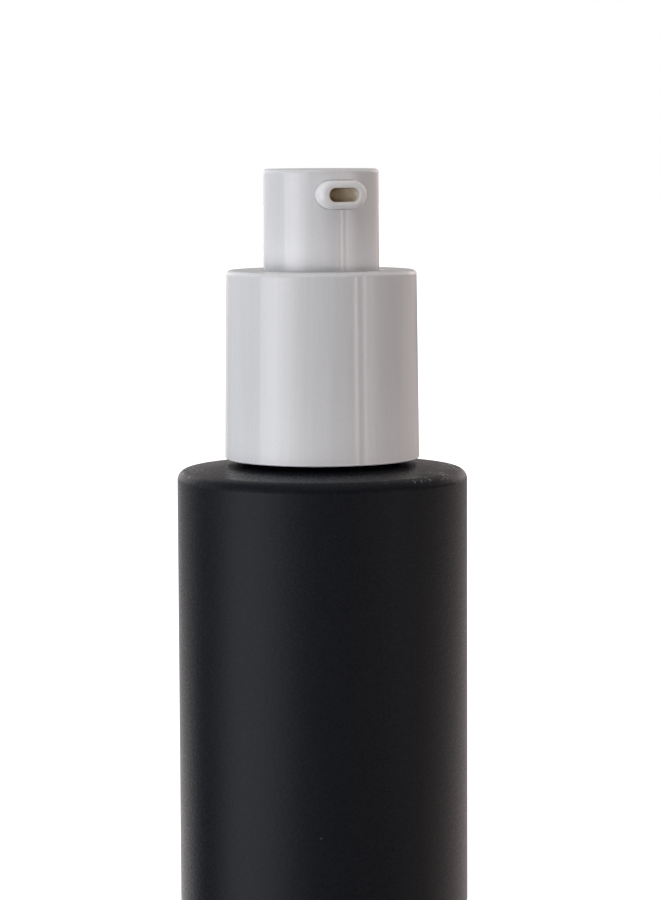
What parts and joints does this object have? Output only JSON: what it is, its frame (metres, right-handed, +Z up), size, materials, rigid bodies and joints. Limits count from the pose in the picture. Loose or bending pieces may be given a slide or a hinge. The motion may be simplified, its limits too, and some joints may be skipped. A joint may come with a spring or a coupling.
{
  "type": "foundation bottle",
  "caption": "Round opaque bottle with a screw-on collar and a treatment pump whose slim press head has a short oval nozzle.",
  "frame": {"origin": "centre of the base, on the surface it stands on", "axes": "+Z up along the bottle's axis; the nozzle points along -Y; +X to the right seen from the nozzle's side"},
  "size_m": [0.036, 0.036, 0.0931],
  "materials": {
    "black_glass": "opaque black, satin sprayed coat over clear glass",
    "white_shell": "white, high gloss",
    "white_core": "white, gloss, stained cream inside the mouth",
    "white_inner": "white polypropylene, as moulded",
    "natural_plastic": "natural translucent polypropylene",
    "gasket": "white foamed liner",
    "spring_steel": "bright stainless steel"
  },
  "bodies": {
    "bottle": {"bottle": "black_glass"},
    "pump": {"housing": "natural_plastic", "gasket": "gasket", "chaplet": "white_inner", "spring": "spring_steel", "dip_tube": "natural_plastic"},
    "collar": {"collar_shell": "white_shell", "screw_cap": "white_inner"},
    "piston": {"piston": "natural_plastic"},
    "spindle": {"stem": "white_inner", "valve_rod": "natural_plastic"},
    "head": {"actuator_shell": "white_shell", "actuator_core": "white_core"},
    "ball": {"inlet_ball": "spring_steel"}
  },
  "joints": [
    {"name": "collar_turn", "type": "hinge", "parent": "pump", "child": "collar", "pos_m": [0, 0, 0.0677], "axis": [0, 0, 1], "range_deg": [0, 360]},
    {"name": "pump_lift", "type": "slide", "parent": "bottle", "child": "pump", "axis": [0, 0, 1], "range_m": [0, 0.00317]},
    {"name": "stroke", "type": "slide", "parent": "pump", "child": "piston", "axis": [0, 0, 1], "range_m": [-0.0057, 0], "stiffness_N_per_m": 700, "deforming": ["spring"]},
    {"name": "valve_slip", "type": "slide", "parent": "piston", "child": "spindle", "axis": [0, 0, 1], "range_m": [-0.0008, 0], "stiffness_N_per_m": 900},
    {"name": "head_spin", "type": "hinge", "parent": "spindle", "child": "head", "pos_m": [0, 0, 0.083], "axis": [0, 0, 1], "continuous": true},
    {"name": "ball_lift", "type": "slide", "parent": "pump", "child": "ball", "axis": [0, 0, 1], "range_m": [0, 0.001]}
  ],
  "couplings": [
    {"joint": "collar_turn", "follows": "pump_lift", "rad_per_m": 1979}
  ]
}
